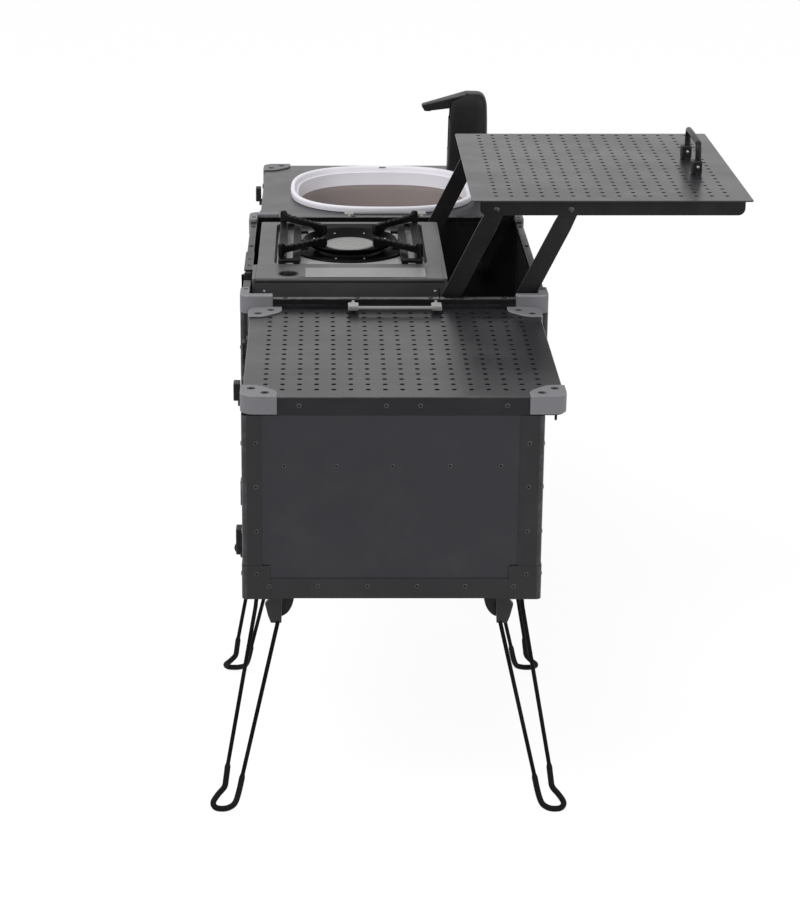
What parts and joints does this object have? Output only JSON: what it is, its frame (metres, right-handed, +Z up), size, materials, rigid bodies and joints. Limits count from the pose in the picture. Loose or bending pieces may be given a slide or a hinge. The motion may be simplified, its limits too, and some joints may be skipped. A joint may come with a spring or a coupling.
{
  "type": "folding camp kitchen",
  "caption": "Folding camp kitchen: two cabinets on wire legs, an open tub between them with a gas stove, a shelf on parallel arms, a wash basin and a pump faucet.",
  "frame": {"origin": "centre of the bounding box in X and Y, on the ground plane the feet stand on", "axes": "+Y from the near cabinet toward the far cabinet, +X from the cook's side toward the rear, +Z up"},
  "size_m": [0.759, 1.3782, 0.7693],
  "materials": {
    "charcoal_panel": "satin",
    "worktop_grey": "satin",
    "black_metal": "satin",
    "trim_black": "satin",
    "cap_grey": "matte",
    "rim_grey": "satin",
    "stove_grey": "satin",
    "enamel_black": "gloss",
    "basin_white": "matte",
    "faucet_black": "satin"
  },
  "bodies": {
    "kitchen_base": {"far_cap_front_inner": "cap_grey", "far_cap_front_outer": "cap_grey", "far_cap_rear_inner": "cap_grey", "far_cap_rear_outer": "cap_grey", "far_edge_frame": "trim_black", "far_end_panel": "charcoal_panel", "far_leg_rail_front": "black_metal", "far_leg_rail_rear": "black_metal", "far_shell": "charcoal_panel", "far_worktop": "worktop_grey", "faucet_column": "faucet_black", "near_cap_front_inner": "cap_grey", "near_cap_front_outer": "cap_grey", "near_cap_rear_inner": "cap_grey", "near_cap_rear_outer": "cap_grey", "near_edge_frame": "trim_black", "near_end_panel": "charcoal_panel", "near_leg_rail_front": "black_metal", "near_leg_rail_rear": "black_metal", "near_shell": "charcoal_panel", "near_worktop": "worktop_grey", "stove_tray": "trim_black", "tub_cap_front_far": "cap_grey", "tub_cap_front_near": "cap_grey", "tub_cap_rear_far": "cap_grey", "tub_cap_rear_near": "cap_grey", "tub_handle_far": "black_metal", "tub_handle_near": "black_metal", "tub_rim": "rim_grey", "tub_shell": "trim_black"},
    "near_door": {"near_front_door": "charcoal_panel"},
    "near_latch_outer_lever": {"near_latch_outer": "black_metal"},
    "near_latch_inner_lever": {"near_latch_inner": "black_metal"},
    "near_leg_front_outer_swing": {"near_leg_front_outer": "black_metal"},
    "near_leg_front_inner_swing": {"near_leg_front_inner": "black_metal"},
    "near_leg_rear_outer_swing": {"near_leg_rear_outer": "black_metal"},
    "near_leg_rear_inner_swing": {"near_leg_rear_inner": "black_metal"},
    "far_door": {"far_front_door": "charcoal_panel"},
    "far_latch_outer_lever": {"far_latch_outer": "black_metal"},
    "far_latch_inner_lever": {"far_latch_inner": "black_metal"},
    "far_leg_front_outer_swing": {"far_leg_front_outer": "black_metal"},
    "far_leg_front_inner_swing": {"far_leg_front_inner": "black_metal"},
    "far_leg_rear_outer_swing": {"far_leg_rear_outer": "black_metal"},
    "far_leg_rear_inner_swing": {"far_leg_rear_inner": "black_metal"},
    "arm_near_front_swing": {"arm_near_front": "black_metal"},
    "arm_near_rear_swing": {"arm_near_rear": "black_metal"},
    "arm_far_front_swing": {"arm_far_front": "black_metal"},
    "arm_far_rear_swing": {"arm_far_rear": "black_metal"},
    "shelf_plate": {"shelf": "worktop_grey", "shelf_handle": "black_metal"},
    "stove": {"stove_body": "stove_grey", "burner": "enamel_black"},
    "canister_lid": {"canister_cover": "stove_grey"},
    "grate": {"pan_support": "enamel_black"},
    "knob": {"stove_knob": "enamel_black"},
    "wash_basin": {"basin": "basin_white"},
    "spout": {"faucet_spout": "faucet_black"}
  },
  "joints": [
    {"name": "near_door_hinge", "type": "hinge", "parent": "kitchen_base", "child": "near_door", "pos_m": [-0.33845, -0.468, 0.31981], "axis": [0, -1, 0], "range_deg": [0, 90]},
    {"name": "near_latch_outer_hinge", "type": "hinge", "parent": "near_door", "child": "near_latch_outer_lever", "pos_m": [-0.34015, -0.561, 0.53111], "axis": [0, -1, 0], "range_deg": [0, 100]},
    {"name": "near_latch_inner_hinge", "type": "hinge", "parent": "near_door", "child": "near_latch_inner_lever", "pos_m": [-0.34015, -0.375, 0.53111], "axis": [0, -1, 0], "range_deg": [0, 100]},
    {"name": "near_leg_front_outer_fold", "type": "hinge", "parent": "kitchen_base", "child": "near_leg_front_outer_swing", "pos_m": [-0.29155, -0.633, 0.28481], "axis": [0, -1, 0], "range_deg": [0, 98]},
    {"name": "near_leg_front_inner_fold", "type": "hinge", "parent": "kitchen_base", "child": "near_leg_front_inner_swing", "pos_m": [-0.29155, -0.303, 0.28481], "axis": [0, -1, 0], "range_deg": [0, 98]},
    {"name": "near_leg_rear_outer_fold", "type": "hinge", "parent": "kitchen_base", "child": "near_leg_rear_outer_swing", "pos_m": [0.00245, -0.633, 0.28481], "axis": [0, 1, 0], "range_deg": [0, 82]},
    {"name": "near_leg_rear_inner_fold", "type": "hinge", "parent": "kitchen_base", "child": "near_leg_rear_inner_swing", "pos_m": [0.00245, -0.303, 0.28481], "axis": [0, 1, 0], "range_deg": [0, 82]},
    {"name": "far_door_hinge", "type": "hinge", "parent": "kitchen_base", "child": "far_door", "pos_m": [-0.33845, 0.459, 0.31981], "axis": [0, -1, 0], "range_deg": [0, 90]},
    {"name": "far_latch_outer_hinge", "type": "hinge", "parent": "far_door", "child": "far_latch_outer_lever", "pos_m": [-0.34015, 0.561, 0.53111], "axis": [0, -1, 0], "range_deg": [0, 100]},
    {"name": "far_latch_inner_hinge", "type": "hinge", "parent": "far_door", "child": "far_latch_inner_lever", "pos_m": [-0.34015, 0.357, 0.53111], "axis": [0, -1, 0], "range_deg": [0, 100]},
    {"name": "far_leg_front_outer_fold", "type": "hinge", "parent": "kitchen_base", "child": "far_leg_front_outer_swing", "pos_m": [-0.29155, 0.633, 0.28481], "axis": [0, -1, 0], "range_deg": [0, 98]},
    {"name": "far_leg_front_inner_fold", "type": "hinge", "parent": "kitchen_base", "child": "far_leg_front_inner_swing", "pos_m": [-0.29155, 0.285, 0.28481], "axis": [0, -1, 0], "range_deg": [0, 98]},
    {"name": "far_leg_rear_outer_fold", "type": "hinge", "parent": "kitchen_base", "child": "far_leg_rear_outer_swing", "pos_m": [0.00245, 0.633, 0.28481], "axis": [0, 1, 0], "range_deg": [0, 82]},
    {"name": "far_leg_rear_inner_fold", "type": "hinge", "parent": "kitchen_base", "child": "far_leg_rear_inner_swing", "pos_m": [0.00245, 0.285, 0.28481], "axis": [0, 1, 0], "range_deg": [0, 82]},
    {"name": "arm_near_front_hinge", "type": "hinge", "parent": "kitchen_base", "child": "arm_near_front_swing", "pos_m": [-0.08315, -0.2319, 0.50781], "axis": [0, 1, 0], "range_deg": [-88, 0]},
    {"name": "arm_near_rear_hinge", "type": "hinge", "parent": "kitchen_base", "child": "arm_near_rear_swing", "pos_m": [0.02285, -0.2319, 0.50781], "axis": [0, 1, 0], "range_deg": [-88, 0]},
    {"name": "arm_far_front_hinge", "type": "hinge", "parent": "kitchen_base", "child": "arm_far_front_swing", "pos_m": [-0.08315, 0.2139, 0.50781], "axis": [0, 1, 0], "range_deg": [-88, 0]},
    {"name": "arm_far_rear_hinge", "type": "hinge", "parent": "kitchen_base", "child": "arm_far_rear_swing", "pos_m": [0.02285, 0.2139, 0.50781], "axis": [0, 1, 0], "range_deg": [-88, 0]},
    {"name": "shelf_level_hinge", "type": "hinge", "parent": "arm_near_front_swing", "child": "shelf_plate", "pos_m": [0.01548, -0.2319, 0.71004], "axis": [0, 1, 0], "range_deg": [0, 88]},
    {"name": "stove_lift", "type": "slide", "parent": "kitchen_base", "child": "stove", "axis": [0, 0, 1], "range_m": [0, 0.1]},
    {"name": "canister_cover_hinge", "type": "hinge", "parent": "stove", "child": "canister_lid", "pos_m": [-0.19255, -0.172, 0.58881], "axis": [1, 0, 0], "range_deg": [0, 100]},
    {"name": "grate_lift", "type": "slide", "parent": "stove", "child": "grate", "axis": [0, 0, 1], "range_m": [0, 0.03]},
    {"name": "knob_turn", "type": "hinge", "parent": "stove", "child": "knob", "pos_m": [-0.34555, -0.134, 0.57381], "axis": [-1, 0, 0], "range_deg": [0, 90]},
    {"name": "basin_lift", "type": "slide", "parent": "kitchen_base", "child": "wash_basin", "axis": [0, 0, 1], "range_m": [0, 0.08]},
    {"name": "spout_fold", "type": "hinge", "parent": "kitchen_base", "child": "spout", "pos_m": [0.01885, 0.613, 0.70281], "axis": [0, 1, 0], "range_deg": [-76, 0]}
  ],
  "couplings": [
    {"joint": "arm_near_rear_hinge", "follows": "arm_near_front_hinge", "ratio": 1},
    {"joint": "arm_far_front_hinge", "follows": "arm_near_front_hinge", "ratio": 1},
    {"joint": "arm_far_rear_hinge", "follows": "arm_near_front_hinge", "ratio": 1},
    {"joint": "shelf_level_hinge", "follows": "arm_near_front_hinge", "ratio": -1}
  ]
}
